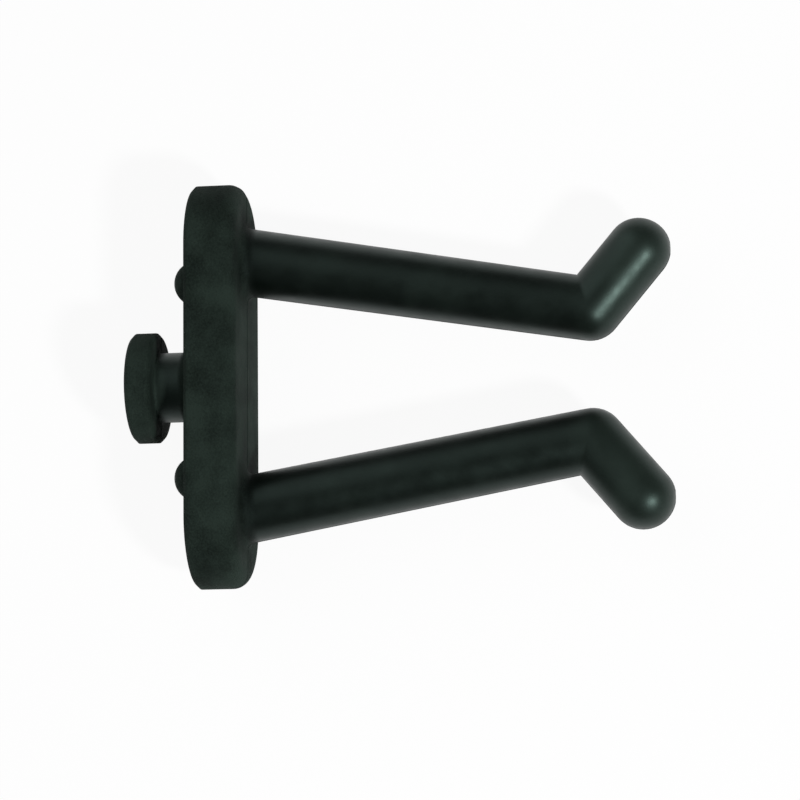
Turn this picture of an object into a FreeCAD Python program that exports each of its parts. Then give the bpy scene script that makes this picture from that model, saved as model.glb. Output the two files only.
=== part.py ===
"""Forked pegboard hook, moulded in one piece of black plastic.

A flat plate with round ends lies along the front of a perforated board. On its back are a mushroom stud,
which drops into a keyhole of the board, and two rounded ribs, which bear on the board either side of it. On
its front are two round prongs that lean towards each other, so that a tool shaft pushed in between them is
held behind the narrow throat, and their tips turn outwards.

Frame, in millimetres: the origin is on the stud's axis at the plate's back face, +Y points along the stud
into the board, -Y out of the board along the prongs, X along the plate and +Z up.
"""

import FreeCAD
import Part
import math
import os

import Sketcher

NODE = "forked_hook"
OUT = "parts"
ON_FACE = 1e-4

# Driving dimensions: lengths in millimetres, angles in degrees
SIZES = {
    # Plate in front of the board
    "plate_length": 36.0,
    "plate_width": 12.2,
    "plate_thickness": 4.5,
    "plate_front_round": 1.4,
    "plate_back_chamfer": 0.3,
    # Ribs across the back of the plate, which bear on the board
    "rib_offset": 8.6,
    "rib_height": 1.2,
    "rib_radius": 2.0,
    "rib_straight": 7.6,
    # Mushroom stud: the neck stands in the board and the head behind it
    "board_thickness": 2.0,
    "board_clearance": 0.1,
    "neck_diameter": 6.2,
    "head_diameter": 9.8,
    "head_thickness": 2.3,
    "head_chamfer": 0.3,
    # Prongs, measured along their axes from the plate's front face
    "prong_spacing": 22.1,
    "prong_lean_angle": 9.8,
    "prong_length": 31.0,
    "prong_root_diameter": 6.0,
    "prong_taper": 0.4,
    "prong_root_fillet": 0.6,
    # Tips: a ball corner, a straight length and a domed end
    "tip_turn_angle": 59.5,
    "tip_length": 6.65,
}

# Sizes that follow from the driving ones, as expressions on the sheet
NECK_LENGTH = "(dims.rib_height + dims.board_thickness + dims.board_clearance)"
FOOT_DEPTH = "(dims.plate_thickness / 2)"
TIP_RADIUS = "((dims.prong_root_diameter - dims.prong_taper) / 2)"
TAPER_RATE = "(dims.prong_taper / 2 / dims.prong_length)"
LEAN_SINE = "sin(dims.prong_lean_angle * 1 deg)"
LEAN_COSINE = "cos(dims.prong_lean_angle * 1 deg)"


def make_sheet(doc):
    """Spreadsheet with one named cell for each driving dimension."""
    sheet = doc.addObject("Spreadsheet::Sheet", "dims")
    for row, (alias, value) in enumerate(SIZES.items(), start=1):
        sheet.set(f"A{row}", alias)
        sheet.set(f"B{row}", str(value))
        sheet.setAlias(f"B{row}", alias)
    doc.recompute()


def origin_plane(body, role):
    """One of the body's own origin planes."""
    return next(feature for feature in body.Origin.OriginFeatures if feature.Role == role)


def new_sketch(body, name, role):
    """Empty sketch on one of the body's origin planes."""
    sketch = body.newObject("Sketcher::SketchObject", name)
    sketch.AttachmentSupport = (origin_plane(body, role), "")
    sketch.MapMode = "FlatFace"
    return sketch


def value_of(sketch, expression):
    """Present value of an expression on the sheet."""
    return float(sketch.evalExpression(expression))


def dimension(sketch, name, expression, *constraint):
    """Adds a dimension to a sketch and ties it to the sheet."""
    index = sketch.addConstraint(Sketcher.Constraint(*constraint, value_of(sketch, expression)))
    sketch.renameConstraint(index, name)
    sketch.setExpression(f"Constraints.{name}", expression)


def revolve(body, name, sketch):
    """Turns a half profile once round its sketch's vertical axis."""
    feature = body.newObject("PartDesign::Revolution", name)
    feature.Profile = sketch
    feature.ReferenceAxis = (sketch, ["V_Axis"])
    feature.Angle = 360.0
    return feature


def plate(body):
    """Flat plate with full-round ends, padded from its back face towards -Y."""
    sketch = new_sketch(body, "plate_outline", "XZ_Plane")
    radius = SIZES["plate_width"] / 2
    reach = SIZES["plate_length"] / 2 - radius
    right = FreeCAD.Vector(reach, 0, 0)
    left = FreeCAD.Vector(-reach, 0, 0)
    up = FreeCAD.Vector(0, radius, 0)
    axis = FreeCAD.Vector(0, 0, 1)
    quarter = math.pi / 2
    top, right_end, bottom, left_end = sketch.addGeometry(
        [
            Part.LineSegment(left + up, right + up),
            Part.ArcOfCircle(Part.Circle(right, axis, radius), -quarter, quarter),
            Part.LineSegment(right - up, left - up),
            Part.ArcOfCircle(Part.Circle(left, axis, radius), quarter, 3 * quarter),
        ],
        False,
    )
    sketch.addConstraint(Sketcher.Constraint("Tangent", top, 2, right_end, 2))
    sketch.addConstraint(Sketcher.Constraint("Tangent", right_end, 1, bottom, 1))
    sketch.addConstraint(Sketcher.Constraint("Tangent", bottom, 2, left_end, 2))
    sketch.addConstraint(Sketcher.Constraint("Tangent", left_end, 1, top, 1))
    sketch.addConstraint(Sketcher.Constraint("Symmetric", left_end, 3, right_end, 3, -1, 1))
    sketch.addConstraint(Sketcher.Constraint("Horizontal", top))
    dimension(sketch, "end_radius", "dims.plate_width / 2", "Radius", right_end)
    dimension(
        sketch,
        "between_ends",
        "dims.plate_length - dims.plate_width",
        "DistanceX",
        left_end,
        3,
        right_end,
        3,
    )
    pad = body.newObject("PartDesign::Pad", "plate")
    pad.Profile = sketch
    pad.setExpression("Length", "dims.plate_thickness")


def stud(body):
    """Mushroom stud: a neck that starts inside the plate and a wider head on it."""
    sketch = new_sketch(body, "stud_profile", "XY_Plane")
    neck = SIZES["neck_diameter"] / 2
    head = SIZES["head_diameter"] / 2
    foot = -SIZES["plate_thickness"] / 2
    under = value_of(sketch, NECK_LENGTH)
    top = under + SIZES["head_thickness"]
    corners = [(0, foot), (neck, foot), (neck, under), (head, under), (head, top), (0, top)]
    points = [FreeCAD.Vector(x, y, 0) for x, y in corners]
    ends = points[1:] + points[:1]
    sketch.addGeometry([Part.LineSegment(a, b) for a, b in zip(points, ends)], False)
    for line in range(6):
        sketch.addConstraint(Sketcher.Constraint("Coincident", line, 2, (line + 1) % 6, 1))
    for line in (0, 2, 4):
        sketch.addConstraint(Sketcher.Constraint("Horizontal", line))
    for line in (1, 3):
        sketch.addConstraint(Sketcher.Constraint("Vertical", line))
    sketch.addConstraint(Sketcher.Constraint("PointOnObject", 5, 1, -2))
    sketch.addConstraint(Sketcher.Constraint("PointOnObject", 5, 2, -2))
    dimension(sketch, "neck_radius", "dims.neck_diameter / 2", "DistanceX", 0, 1, 0, 2)
    dimension(sketch, "head_radius", "dims.head_diameter / 2", "DistanceX", 4, 2, 4, 1)
    dimension(sketch, "foot_depth", FOOT_DEPTH, "DistanceY", 0, 1, -1, 1)
    dimension(sketch, "neck_length", NECK_LENGTH, "DistanceY", -1, 1, 1, 2)
    dimension(sketch, "head_height", "dims.head_thickness", "DistanceY", 3, 1, 3, 2)
    revolve(body, "stud", sketch)


def domed_bar(body, name, place, foot, length, end):
    """Round bar with a domed end: foot radius, length to the centre of the dome and radius of the dome.

    The place holds the foot's position in the XY plane and the turn that points the bar along its way.
    """
    sketch = new_sketch(body, f"{name}_profile", "XY_Plane")
    x, y, turn = place
    sketch.setExpression("AttachmentOffset.Base.x", x)
    sketch.setExpression("AttachmentOffset.Base.y", y)
    sketch.setExpression("AttachmentOffset.Rotation.Angle", turn)
    radius = value_of(sketch, end)
    bottom = FreeCAD.Vector(0, 0, 0)
    edge = FreeCAD.Vector(value_of(sketch, foot), 0, 0)
    centre = FreeCAD.Vector(0, value_of(sketch, length), 0)
    shoulder = centre + FreeCAD.Vector(radius, 0, 0)
    top = centre + FreeCAD.Vector(0, radius, 0)
    circle = Part.Circle(centre, FreeCAD.Vector(0, 0, 1), radius)
    spine, base, flank, dome = sketch.addGeometry(
        [
            Part.LineSegment(top, bottom),
            Part.LineSegment(bottom, edge),
            Part.LineSegment(edge, shoulder),
            Part.ArcOfCircle(circle, 0, math.pi / 2),
        ],
        False,
    )
    sketch.addConstraint(Sketcher.Constraint("Coincident", spine, 2, -1, 1))
    sketch.addConstraint(Sketcher.Constraint("Coincident", base, 1, -1, 1))
    sketch.addConstraint(Sketcher.Constraint("Coincident", base, 2, flank, 1))
    sketch.addConstraint(Sketcher.Constraint("Coincident", flank, 2, dome, 1))
    sketch.addConstraint(Sketcher.Constraint("Coincident", dome, 2, spine, 1))
    sketch.addConstraint(Sketcher.Constraint("Horizontal", base))
    sketch.addConstraint(Sketcher.Constraint("Vertical", spine))
    sketch.addConstraint(Sketcher.Constraint("PointOnObject", dome, 3, -2))
    sketch.addConstraint(Sketcher.Constraint("Horizontal", dome, 3, dome, 1))
    dimension(sketch, "foot_radius", foot, "DistanceX", base, 1, base, 2)
    dimension(sketch, "length", length, "DistanceY", base, 1, dome, 3)
    dimension(sketch, "end_radius", end, "Radius", dome)
    return revolve(body, name, sketch)


def rib(body):
    """Rounded rib across the back of the plate: a bar with ball ends, sunk until only its crest stands out."""
    sketch = new_sketch(body, "rib_profile", "XZ_Plane")
    sketch.setExpression("AttachmentOffset.Base.x", "dims.rib_offset")
    sketch.setExpression("AttachmentOffset.Base.z", "dims.rib_radius - dims.rib_height")
    radius = SIZES["rib_radius"]
    upper = FreeCAD.Vector(0, SIZES["rib_straight"] / 2, 0)
    lower = -upper
    out = FreeCAD.Vector(radius, 0, 0)
    end = FreeCAD.Vector(0, radius, 0)
    axis = FreeCAD.Vector(0, 0, 1)
    quarter = math.pi / 2
    spine, lower_ball, flank, upper_ball = sketch.addGeometry(
        [
            Part.LineSegment(upper + end, lower - end),
            Part.ArcOfCircle(Part.Circle(lower, axis, radius), -quarter, 0),
            Part.LineSegment(lower + out, upper + out),
            Part.ArcOfCircle(Part.Circle(upper, axis, radius), 0, quarter),
        ],
        False,
    )
    sketch.addConstraint(Sketcher.Constraint("Coincident", spine, 2, lower_ball, 1))
    sketch.addConstraint(Sketcher.Constraint("Coincident", spine, 1, upper_ball, 2))
    sketch.addConstraint(Sketcher.Constraint("Tangent", lower_ball, 2, flank, 1))
    sketch.addConstraint(Sketcher.Constraint("Tangent", flank, 2, upper_ball, 1))
    sketch.addConstraint(Sketcher.Constraint("PointOnObject", lower_ball, 3, -2))
    sketch.addConstraint(Sketcher.Constraint("PointOnObject", lower_ball, 1, -2))
    sketch.addConstraint(Sketcher.Constraint("PointOnObject", upper_ball, 2, -2))
    sketch.addConstraint(Sketcher.Constraint("Symmetric", lower_ball, 3, upper_ball, 3, -1, 1))
    dimension(sketch, "ball_radius", "dims.rib_radius", "Radius", upper_ball)
    dimension(sketch, "straight", "dims.rib_straight", "DistanceY", lower_ball, 3, upper_ball, 3)
    return revolve(body, "rib", sketch)


def prong(body):
    """Tapered bar from inside the plate to the ball at the corner, leaning towards the middle."""
    x = f"dims.prong_spacing / 2 + {FOOT_DEPTH} * {LEAN_SINE}"
    y = f"-dims.plate_thickness + {FOOT_DEPTH} * {LEAN_COSINE}"
    turn = "(180 - dims.prong_lean_angle) * 1 deg"
    foot = f"dims.prong_root_diameter / 2 + {TAPER_RATE} * {FOOT_DEPTH}"
    length = f"dims.prong_length + {FOOT_DEPTH}"
    return domed_bar(body, "prong", (x, y, turn), foot, length, TIP_RADIUS)


def tip(body):
    """Straight bar with a domed end, from the middle of the corner's ball outwards."""
    x = f"dims.prong_spacing / 2 - dims.prong_length * {LEAN_SINE}"
    y = f"-dims.plate_thickness - dims.prong_length * {LEAN_COSINE}"
    turn = "(180 - dims.prong_lean_angle + dims.tip_turn_angle) * 1 deg"
    return domed_bar(body, "tip", (x, y, turn), TIP_RADIUS, "dims.tip_length", TIP_RADIUS)


def mirror(body, name, features):
    """Repeats features on the other side of the stud."""
    mirrored = body.newObject("PartDesign::Mirrored", name)
    mirrored.Originals = features
    mirrored.MirrorPlane = (origin_plane(body, "YZ_Plane"), [""])
    body.Tip = mirrored


def flat_face(shape, y):
    """The largest flat face that lies across the stud's axis at this height."""
    level = [
        face
        for face in shape.Faces
        if abs(face.BoundBox.YMin - y) < ON_FACE and abs(face.BoundBox.YMax - y) < ON_FACE
    ]
    return max(level, key=lambda face: face.Area)


def rim(shape, y):
    """Edges round the outside of the flat face at this height."""
    return flat_face(shape, y).OuterWire.Edges


def feet(shape, y):
    """Edges where something stands on the flat face at this height."""
    outer = rim(shape, y)
    edges = flat_face(shape, y).Edges
    return [edge for edge in edges if not any(edge.isSame(other) for other in outer)]


def dress(body, name, kind, size, pick, y):
    """Fillet or chamfer, of the size given, on the edges picked at this height of the finished shape."""
    body.Document.recompute()
    base = body.Tip
    picked = pick(base.Shape, y)
    numbered = enumerate(base.Shape.Edges, start=1)
    names = [f"Edge{n}" for n, edge in numbered if any(edge.isSame(other) for other in picked)]
    feature = body.newObject(f"PartDesign::{kind}", name)
    feature.Base = (base, names)
    feature.setExpression("Radius" if kind == "Fillet" else "Size", size)


def build(doc):
    """The whole hook as one body."""
    make_sheet(doc)
    body = doc.addObject("PartDesign::Body", NODE)
    front = -SIZES["plate_thickness"]
    back = 0.0
    head_under = SIZES["rib_height"] + SIZES["board_thickness"] + SIZES["board_clearance"]
    head_top = head_under + SIZES["head_thickness"]

    plate(body)
    dress(body, "plate_front_edge", "Fillet", "dims.plate_front_round", rim, front)
    dress(body, "plate_back_edge", "Chamfer", "dims.plate_back_chamfer", rim, back)
    stud(body)
    dress(body, "head_top_edge", "Chamfer", "dims.head_chamfer", rim, head_top)
    dress(body, "head_under_edge", "Chamfer", "dims.head_chamfer", rim, head_under)
    mirror(body, "ribs", [rib(body)])
    mirror(body, "prongs", [prong(body), tip(body)])
    dress(body, "prong_roots", "Fillet", "dims.prong_root_fillet", feet, front)
    doc.recompute()
    return body


def check(doc, body):
    """Stops the build if a feature failed or the hook isn't one valid solid."""
    for item in doc.Objects:
        if "Invalid" in item.State or "Error" in item.State:
            raise RuntimeError(f"{item.Name} did not build: {item.State}")
    if body.Shape.isNull() or not body.Shape.isValid() or len(body.Shape.Solids) != 1:
        raise RuntimeError("the hook is not one valid solid")


doc = FreeCAD.newDocument("pegboard_hook")
hook = build(doc)
check(doc, hook)
os.makedirs(OUT, exist_ok=True)
hook.Shape.exportStep(f"{OUT}/{NODE}.step")
box = hook.Shape.optimalBoundingBox(False, False)
print(NODE, "volume", round(hook.Shape.Volume, 1), "mm3, box", box)
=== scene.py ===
# %% [markdown]
# # Forked pegboard hook
# The hook is a single moulding of black plastic. Its solid model is loaded first and stays as the fixed
# frame: the plate, the stud, the ribs and the prongs already have their true shape there. What is left to do
# in Blender is the finish of the plastic, the fine line that the mould leaves on it, the light and the
# camera.

# %% Load the solid model
import math

import bmesh
import bpy
from mathutils import Matrix, Vector


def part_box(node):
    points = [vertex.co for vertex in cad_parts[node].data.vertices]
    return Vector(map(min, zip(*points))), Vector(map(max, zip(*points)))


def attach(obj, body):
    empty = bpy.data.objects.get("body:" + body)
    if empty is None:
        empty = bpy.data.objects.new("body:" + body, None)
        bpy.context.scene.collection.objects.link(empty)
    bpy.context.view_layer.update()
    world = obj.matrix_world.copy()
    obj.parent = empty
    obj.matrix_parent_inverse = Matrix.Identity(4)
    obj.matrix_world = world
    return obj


MM = 0.001
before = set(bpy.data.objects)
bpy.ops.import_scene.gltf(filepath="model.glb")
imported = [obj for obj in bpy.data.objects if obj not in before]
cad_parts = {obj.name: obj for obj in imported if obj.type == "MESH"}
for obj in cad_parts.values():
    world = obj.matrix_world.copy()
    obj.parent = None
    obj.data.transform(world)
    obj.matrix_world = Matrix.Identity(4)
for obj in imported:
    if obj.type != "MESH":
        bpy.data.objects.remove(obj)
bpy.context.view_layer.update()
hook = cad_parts["forked_hook"]
low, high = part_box("forked_hook")
print("hook, mm:", [round(side / MM, 2) for side in high - low])

# %% [markdown]
# ## The camera
# The photograph looks down on the hook as it lies with its plate on edge: the prongs point to the right of
# the picture and the stud to the left. One could turn the camera by eye. Here its place is worked out from
# the angles at which the hook is seen and from the point of the picture where the middle of the stud's foot
# falls, so that the outline of the render lies on the outline of the photograph.

# %% Camera
FRAME_PIXELS = 800
STUD_FOOT_PIXEL = Vector((197.6, 387.0))
FIELD_WIDTH = 70.96 * MM
CAMERA_DISTANCE = 283.0 * MM
SENSOR_WIDTH = 36.0
NEAREST_SEEN = 1 * MM
FARTHEST_SEEN = 10.0
YAW = math.radians(8.76)
PITCH = math.radians(7.83)
ROLL = math.radians(-0.59)

# Picture axes of the hook: along the prongs, down the plate and up from the table
along = Vector((0, -1, 0))
down = Vector((-1, 0, 0))
up = Vector((0, 0, 1))

across = along * math.cos(YAW) - up * math.sin(YAW)
out = along * math.sin(YAW) + up * math.cos(YAW)
fall = down * math.cos(PITCH) - out * math.sin(PITCH)
view_back = down * math.sin(PITCH) + out * math.cos(PITCH)
view_right = across * math.cos(ROLL) - fall * math.sin(ROLL)
view_down = across * math.sin(ROLL) + fall * math.cos(ROLL)

pixel = FIELD_WIDTH / FRAME_PIXELS
shift = (Vector((FRAME_PIXELS, FRAME_PIXELS)) / 2 - STUD_FOOT_PIXEL) * pixel
place = view_right * shift.x + view_down * shift.y + view_back * CAMERA_DISTANCE

camera_data = bpy.data.cameras.new("photo_camera")
camera_data.sensor_width = SENSOR_WIDTH
camera_data.lens = SENSOR_WIDTH * CAMERA_DISTANCE / FIELD_WIDTH
camera_data.clip_start = NEAREST_SEEN
camera_data.clip_end = FARTHEST_SEEN
camera = bpy.data.objects.new("photo_camera", camera_data)
bpy.context.scene.collection.objects.link(camera)
axes = Matrix((view_right, -view_down, view_back)).transposed()
camera.matrix_world = Matrix.Translation(place) @ axes.to_4x4()
bpy.context.scene.camera = camera
print("lens", round(camera_data.lens, 1), "mm at", [round(x / MM, 1) for x in place], "mm")

# %% [markdown]
# ## Black plastic
# The hook is moulded in black plastic with a soft gloss and a faint green cast. A flat black would look like
# a hole in the picture, so the shader carries what a moulded skin has: uneven colour and gloss, a fine grain
# and rubbed corners. They could be painted as pictures. Here they are worked out from the place on the hook,
# so they have their true size in millimetres from every side. Two helpers keep the node code short.

# %% Black plastic
PLASTIC_IOR = 1.42
GREEN_CAST = (0.70, 1.0, 0.90, 1)


def feed(material, value, socket):
    """Gives an input its value: an output of another node is linked, a number or colour is set."""
    if isinstance(value, bpy.types.NodeSocket):
        material.node_tree.links.new(value, socket)
    else:
        socket.default_value = value


def add_node(material, kind, **inputs):
    """New shader node with its inputs given by name, with _ for a space."""
    node = material.node_tree.nodes.new(kind)
    for name, value in inputs.items():
        feed(material, value, node.inputs[name.replace("_", " ")])
    return node


plastic = bpy.data.materials.new("black_plastic")
plastic.use_nodes = True
connect = plastic.node_tree.links.new
skin = plastic.node_tree.nodes["Principled BSDF"]
skin.distribution = "GGX"
skin.inputs["IOR"].default_value = PLASTIC_IOR
skin.inputs["Specular Tint"].default_value = GREEN_CAST
place_on_hook = add_node(plastic, "ShaderNodeTexCoord").outputs["Object"]
hook.data.materials.clear()
hook.data.materials.append(plastic)
print("plastic on", hook.name)

# %% [markdown]
# ## Rubbed corners
# Hands and tools touch the corners most, so the skin there turns a little paler and smoother. One could pick
# out the edges of the mesh and colour them. The bevel node finds them by itself: it gives the normal that a
# rounded corner would have, and a corner is near wherever that normal leaves the true one.

# %% Rubbed corners
RUBBED_REACH = 0.4 * MM
RUBBED_LIKENESS = 0.93


def stretch(material, value, start, stop, first, last):
    """Carries a value from one range over to another."""
    ranges = dict(From_Min=start, From_Max=stop, To_Min=first, To_Max=last)
    return add_node(material, "ShaderNodeMapRange", Value=value, **ranges).outputs["Result"]


rounded = add_node(plastic, "ShaderNodeBevel", Radius=RUBBED_REACH).outputs["Normal"]
true_normal = add_node(plastic, "ShaderNodeNewGeometry").outputs["Normal"]
likeness = add_node(plastic, "ShaderNodeVectorMath")
likeness.operation = "DOT_PRODUCT"
connect(rounded, likeness.inputs[0])
connect(true_normal, likeness.inputs[1])
rubbed = stretch(plastic, likeness.outputs["Value"], 1.0, RUBBED_LIKENESS, 0.0, 1.0)
print("corners rubbed over", round(RUBBED_REACH / MM, 2), "mm")

# %% [markdown]
# ## Dull plate, polished prongs
# The plate and the stud hardly shine, while the prongs carry clear highlights: their part of the mould is
# polished so that tools slide on. Two materials would meet in a hard border. A mask along the hook's length
# fades from one finish to the other, just in front of the plate.

# %% Dull plate, polished prongs
PLATE_FRONT = -4.5 * MM
FINISH_FADE = 1.2 * MM

axes_on_hook = add_node(plastic, "ShaderNodeSeparateXYZ", Vector=place_on_hook).outputs
dull = stretch(plastic, axes_on_hook["Y"], PLATE_FRONT - FINISH_FADE, PLATE_FRONT, 0.0, 1.0)
print("dull behind", round(PLATE_FRONT / MM, 1), "mm along the hook")

# %% [markdown]
# ## Paler tips and neck: painted light and wear
# The tips and the stud's neck are painted a little paler. On the neck this is painted light: it lies in
# the shade between the plate and the head, and the paler colour stands in for light there. On the tips it
# is a painted sheen that widens the lamp's highlight. Tools are pushed on over the tips, so the same mask
# also makes them a little rougher, as wear. One could paint this by hand. Masks along the length are
# simpler: one rises from the bend to the middle of each tip, and the other is full between the ribs and the
# head, where the board sits. The board rubs the stud's neck and the ribs' crests smooth, so this mask is
# taken out of the dull part.

# %% Paler tips and neck: painted light and wear
TIP_LIGHT_AND_WEAR_START = -33 * MM
TIP_LIGHT_AND_WEAR_FULL = -38 * MM
BOARD_FRONT = 1.2 * MM
BOARD_BACK = 3.3 * MM
BOARD_FADE = 0.4 * MM


def combine(material, operation, first, second):
    """Adds, multiplies or otherwise combines two values."""
    node = add_node(material, "ShaderNodeMath")
    node.operation = operation
    feed(material, first, node.inputs[0])
    feed(material, second, node.inputs[1])
    return node.outputs["Value"]


# Painted light: this mask makes the tips and the neck paler in colour, and a little rougher as wear
tips = stretch(plastic, axes_on_hook["Y"], TIP_LIGHT_AND_WEAR_START, TIP_LIGHT_AND_WEAR_FULL, 0.0, 1.0)
from_ribs = stretch(plastic, axes_on_hook["Y"], BOARD_FRONT - BOARD_FADE, BOARD_FRONT, 0.0, 1.0)
to_head = stretch(plastic, axes_on_hook["Y"], BOARD_BACK, BOARD_BACK - BOARD_FADE, 0.0, 1.0)
board = combine(plastic, "MINIMUM", from_ribs, to_head)
painted_light_and_wear = combine(plastic, "MAXIMUM", tips, board)
dull = combine(plastic, "SUBTRACT", dull, board)
print("tips worn from", round(TIP_LIGHT_AND_WEAR_START / MM, 1), "to", round(low.y / MM, 1), "mm along the hook")

# %% [markdown]
# ## Painted shade round the roots
# The plate's front is painted a deeper black close to the prongs. This is painted shade, for the light that
# the prongs keep off the plate there. One could pick the faces round each root. A mask by the distance from
# the root fades out softly. One root serves both prongs, because the left side of the hook is folded onto the
# right side. A second mask keeps the painted shade to the front of the plate.

# %% Painted shade round the roots
PRONG_ROOT = Vector((11.05 * MM, PLATE_FRONT, 0))
ROOT_SHADE_START = 6.5 * MM
ROOT_SHADE_FULL = 3.6 * MM
ROOT_SHADE_DEPTH = 1.6 * MM

# Painted shade: a deeper black on the plate's front round each prong's root
leftwards = combine(plastic, "MULTIPLY", axes_on_hook["X"], -1.0)
sideways = combine(plastic, "MAXIMUM", axes_on_hook["X"], leftwards)
folded = add_node(plastic, "ShaderNodeCombineXYZ", X=sideways, Y=axes_on_hook["Y"], Z=axes_on_hook["Z"])
from_root = add_node(plastic, "ShaderNodeVectorMath")
from_root.operation = "DISTANCE"
connect(folded.outputs["Vector"], from_root.inputs[0])
from_root.inputs[1].default_value = PRONG_ROOT
near_root = stretch(plastic, from_root.outputs["Value"], ROOT_SHADE_START, ROOT_SHADE_FULL, 0.0, 1.0)
in_front = stretch(plastic, axes_on_hook["Y"], PLATE_FRONT + ROOT_SHADE_DEPTH, PLATE_FRONT, 0.0, 1.0)
painted_shade_at_roots = combine(plastic, "MULTIPLY", near_root, in_front)
print("sheltered within", round(ROOT_SHADE_START / MM, 1), "mm of a root")

# %% [markdown]
# ## Grain
# The mould's eroded walls leave a grain of little more than a tenth of a millimetre on the plate, and a much
# weaker one on the polished prongs. Real geometry that fine would be millions of faces, so bump is the right
# tool. It starts from the bevel node's normal, which also rounds the sharp corners of the solid a little. A
# helper gives each later number its two values, one on the prongs and one on the plate.

# %% Grain
GRAIN_SIZE = 0.15 * MM
GRAIN_DETAIL = 3
POLISHED_GRAIN_HEIGHT = 0.0012 * MM
DULL_GRAIN_HEIGHT = 0.012 * MM
NOISE_LOW = 0.3
NOISE_HIGH = 0.7
FULL_HEIGHT = 1.0


def by_finish(polished_value, dull_value):
    """One value on the polished prongs and another on the dull plate, with the fade between them."""
    return stretch(plastic, dull, 0.0, 1.0, polished_value, dull_value)


def clouds(material, place, size, detail, reach):
    """Noise in patches of about the given size, which swings by the reach to either side of zero."""
    noise = add_node(material, "ShaderNodeTexNoise", Vector=place, Scale=1 / size, Detail=detail)
    return stretch(material, noise.outputs["Fac"], NOISE_LOW, NOISE_HIGH, -reach, reach)


grain = clouds(plastic, place_on_hook, GRAIN_SIZE, GRAIN_DETAIL, 1.0)
grain_height = by_finish(POLISHED_GRAIN_HEIGHT, DULL_GRAIN_HEIGHT)
relief = add_node(plastic, "ShaderNodeBump", Distance=FULL_HEIGHT, Normal=rounded)
connect(combine(plastic, "MULTIPLY", grain, grain_height), relief.inputs["Height"])
connect(relief.outputs["Normal"], skin.inputs["Normal"])
print("grain", round(GRAIN_SIZE / MM, 2), "mm wide and", round(DULL_GRAIN_HEIGHT / MM, 3), "mm high")

# %% [markdown]
# ## Colour
# Moulded black is never quite even: it drifts between a deeper and a paler black as the plastic flows and
# cools. One colour ramp over noise would do. Mixing two blacks by a sum of causes is easier to adjust: slow
# clouds of noise, the dull plate, which scatters more light, its grain and the rubbed corners, with painted
# light on the tips and the neck, less the painted shade round the roots.

# %% Colour
BLACK = (0.0193, 0.0294, 0.0236, 1)
DEEP_BLACK = (0.0018, 0.0026, 0.0019, 1)
CLOUD_SIZE = 4 * MM
CLOUD_DETAIL = 6
POLISHED_CLOUD_SHARE = 0.15
DULL_CLOUD_SHARE = 0.45
POLISHED_SHARE = 0.02
DULL_SHARE = 0.75
GRAIN_SHARE = 0.24
RUBBED_SHARE = 0.14
PAINTED_LIGHT_SHARE = 0.45
ROOT_SHADE_SHARE = 0.4


def add_share(total, cause, share):
    """The total with a share of one more cause on top."""
    return combine(plastic, "ADD", total, combine(plastic, "MULTIPLY", cause, share))


drift = clouds(plastic, place_on_hook, CLOUD_SIZE, CLOUD_DETAIL, 1.0)
drift = combine(plastic, "MULTIPLY", drift, by_finish(POLISHED_CLOUD_SHARE, DULL_CLOUD_SHARE))
drift = combine(plastic, "ADD", drift, by_finish(POLISHED_SHARE, DULL_SHARE))
drift = add_share(drift, rubbed, RUBBED_SHARE)
# Painted light and sheen on the tips and the neck
drift = add_share(drift, painted_light_and_wear, PAINTED_LIGHT_SHARE)
# Painted shade round the prongs' roots
drift = add_share(drift, painted_shade_at_roots, -ROOT_SHADE_SHARE)
drift = add_share(drift, grain, by_finish(0.0, GRAIN_SHARE))
tone = add_node(plastic, "ShaderNodeMix")
tone.data_type = "RGBA"
tone.inputs["A"].default_value = DEEP_BLACK
tone.inputs["B"].default_value = BLACK
connect(drift, tone.inputs["Factor"])
connect(tone.outputs["Result"], skin.inputs["Base Color"])
print("clouds of black", round(CLOUD_SIZE / MM, 1), "mm across")

# %% [markdown]
# ## Gloss
# The highlight on each tip is soft but clear, so the prongs have a middling roughness, and the plate a high
# one and a weaker reflection, because its eroded skin catches part of the light. A single number would make
# the highlight look computed. Small patches of noise break it up, as uneven cooling does. The rubbed corners
# are a little smoother, and the worn tips and neck a little rougher than fresh polish.

# %% Gloss
POLISHED_ROUGHNESS = 0.39
DULL_ROUGHNESS = 0.90
POLISHED_MIRROR = 0.5
DULL_MIRROR = 0.2
GLOSS_PATCH_SIZE = 1.6 * MM
GLOSS_PATCH_DETAIL = 5
GLOSS_PATCH_SHARE = 0.05
RUBBED_SMOOTHING = 0.05
WEAR_ROUGHENING = 0.04

uneven = clouds(plastic, place_on_hook, GLOSS_PATCH_SIZE, GLOSS_PATCH_DETAIL, GLOSS_PATCH_SHARE)
gloss = combine(plastic, "ADD", by_finish(POLISHED_ROUGHNESS, DULL_ROUGHNESS), uneven)
gloss = add_share(gloss, painted_light_and_wear, WEAR_ROUGHENING)
gloss = add_share(gloss, rubbed, -RUBBED_SMOOTHING)
connect(gloss, skin.inputs["Roughness"])
connect(by_finish(POLISHED_MIRROR, DULL_MIRROR), skin.inputs["Specular IOR Level"])
print("roughness", POLISHED_ROUGHNESS, "on the prongs and", DULL_ROUGHNESS, "on the plate")
print("plastic finished with", len(plastic.node_tree.nodes), "nodes")

# %% [markdown]
# ## Parting line
# A moulding shows a fine raised line where the two halves of its mould met. This hook could only leave its
# mould sideways, because the stud's head and the turned tips would catch on a mould that opens along the
# prongs, so the line runs round the middle plane. One could draw that outline again from the sizes. It is
# safer to cut a copy of the solid with the plane, because the line then always lies on the skin.

# %% Outline of the middle plane
BEAD_RADIUS = 0.03 * MM
WELD_DISTANCE = 0.001 * MM

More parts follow.
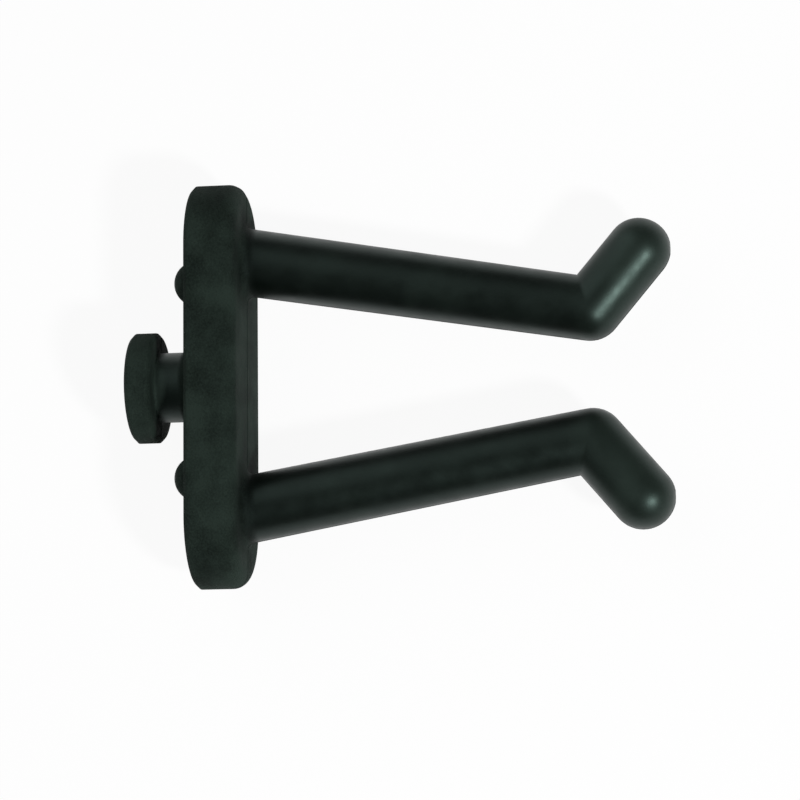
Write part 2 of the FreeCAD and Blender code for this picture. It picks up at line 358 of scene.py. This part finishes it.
outline = bmesh.new()
outline.from_mesh(hook.data)
bmesh.ops.remove_doubles(outline, verts=outline.verts[:], dist=WELD_DISTANCE)
everything = outline.verts[:] + outline.edges[:] + outline.faces[:]
middle_plane = dict(plane_co=(0, 0, 0), plane_no=(0, 0, 1), dist=WELD_DISTANCE)
cut = bmesh.ops.bisect_plane(outline, geom=everything, **middle_plane)
on_plane = set(cut["geom_cut"])
off_plane = [edge for edge in outline.edges if edge not in on_plane]
bmesh.ops.delete(outline, geom=off_plane, context="EDGES")

# The bead's middle stays a radius inside the hook's box, so the hook keeps its size
for point in outline.verts:
    point.co.x = min(max(point.co.x, low.x + BEAD_RADIUS), high.x - BEAD_RADIUS)
    point.co.y = min(max(point.co.y, low.y + BEAD_RADIUS), high.y - BEAD_RADIUS)

bead_mesh = bpy.data.meshes.new("parting_line")
outline.to_mesh(bead_mesh)
outline.free()
print("outline with", len(bead_mesh.edges), "edges")

# %% [markdown]
# ## Bead along the outline
# The line stands up by a few hundredths of a millimetre. A ridge in the bump would do from afar, but it
# would be missing from the mesh. A loop of bare edges can become a curve, and a curve can have a round
# section, so the bead is a thin round thread, half sunk in the skin.

# %% Bead along the outline
BEAD_ROUNDING_STEPS = 1

bead = bpy.data.objects.new("parting_line", bead_mesh)
bpy.context.scene.collection.objects.link(bead)
bpy.ops.object.select_all(action="DESELECT")
bead.select_set(True)
bpy.context.view_layer.objects.active = bead
bpy.ops.object.convert(target="CURVE")
bead.data.bevel_depth = BEAD_RADIUS
bead.data.bevel_resolution = BEAD_ROUNDING_STEPS
bead.data.materials.clear()
bead.data.materials.append(plastic)
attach(bead, "root")
loops = [(len(loop.points), loop.use_cyclic_u) for loop in bead.data.splines]
print("parting line, points and closed:", loops)

# %% [markdown]
# ## Floor
# The photograph has a plain white ground. The floor touches the plate's lower edge. A floor that is only
# painted white turns grey away from the lamps, so most of its white is its own glow, shown to the camera and
# to mirror and glass rays alone. The rest is ordinary white paper, which takes the hook's soft shadow.

# %% Floor
FLOOR_HALF = 20.0
PAPER_WHITE = (0.93, 0.93, 0.93, 1)
PAPER_ROUGHNESS = 0.9
GLOW_WHITE = (1, 1, 1, 1)
GLOW_STRENGTH = 1.0
GLOW_SHARE = 0.93

floor_mesh = bpy.data.meshes.new("floor")
floor_form = bmesh.new()
bmesh.ops.create_grid(floor_form, x_segments=1, y_segments=1, size=FLOOR_HALF)
floor_form.to_mesh(floor_mesh)
floor_form.free()
floor = bpy.data.objects.new("floor", floor_mesh)
floor.location = (0, 0, low.z)
bpy.context.scene.collection.objects.link(floor)

paper = bpy.data.materials.new("white_paper")
paper.use_nodes = True
join = paper.node_tree.links.new
paper_skin = paper.node_tree.nodes["Principled BSDF"]
paper_skin.inputs["Base Color"].default_value = PAPER_WHITE
paper_skin.inputs["Roughness"].default_value = PAPER_ROUGHNESS
ray = add_node(paper, "ShaderNodeLightPath").outputs
seen = combine(paper, "MAXIMUM", ray["Is Camera Ray"], ray["Is Glossy Ray"])
seen = combine(paper, "MAXIMUM", seen, ray["Is Transmission Ray"])
glow = add_node(paper, "ShaderNodeEmission", Color=GLOW_WHITE, Strength=GLOW_STRENGTH)
blend = add_node(paper, "ShaderNodeMixShader")
join(combine(paper, "MULTIPLY", seen, GLOW_SHARE), blend.inputs[0])
join(paper_skin.outputs["BSDF"], blend.inputs[1])
join(glow.outputs["Emission"], blend.inputs[2])
join(blend.outputs["Shader"], paper.node_tree.nodes["Material Output"].inputs["Surface"])
floor_mesh.materials.append(paper)
print("floor at", round(low.z / MM, 2), "mm")

# %% [markdown]
# ## Light
# A glossy black shows little but reflections, so the lamps are placed by what they draw on it. A wide, dim
# softbox on the upper left of the picture gives each prong its light band. A small key lamp on the lower
# right stands where the upper tip mirrors it as a bright line along its whole length. It could have been
# moved about by trial. Its direction was worked out instead, from the way that the tip leans. The room's own
# grey keeps the rest from going fully black.

# %% Lamps
ROOM_GREY = (0.10, 0.10, 0.10, 1)

# Directions to the lamps, in the picture's axes: right, down and towards the camera
KEY_DIRECTION = (0.455, 0.278, 0.846)
SOFTBOX_DIRECTION = (-0.75, -0.45, 0.48)


def soft_lamp(name, direction, distance, width, power):
    """Round lamp aimed at the middle of the hook from a direction in the picture's axes."""
    middle = (low + high) / 2
    towards = view_right * direction[0] + view_down * direction[1] + view_back * direction[2]
    towards.normalize()
    data = bpy.data.lights.new(name, "AREA")
    data.shape = "DISK"
    data.size = width
    data.energy = power
    lamp = bpy.data.objects.new(name, data)
    lamp.location = middle + towards * distance
    lamp.rotation_euler = towards.to_track_quat("Z", "Y").to_euler()
    bpy.context.scene.collection.objects.link(lamp)


soft_lamp("key_lamp", KEY_DIRECTION, distance=0.5, width=0.06, power=2.02)
soft_lamp("wide_softbox", SOFTBOX_DIRECTION, distance=0.7, width=1.0, power=2.4)

room = bpy.data.worlds.new("room")
room.use_nodes = True
room.node_tree.nodes["Background"].inputs["Color"].default_value = ROOM_GREY
bpy.context.scene.world = room
bpy.context.scene.view_settings.view_transform = "Standard"
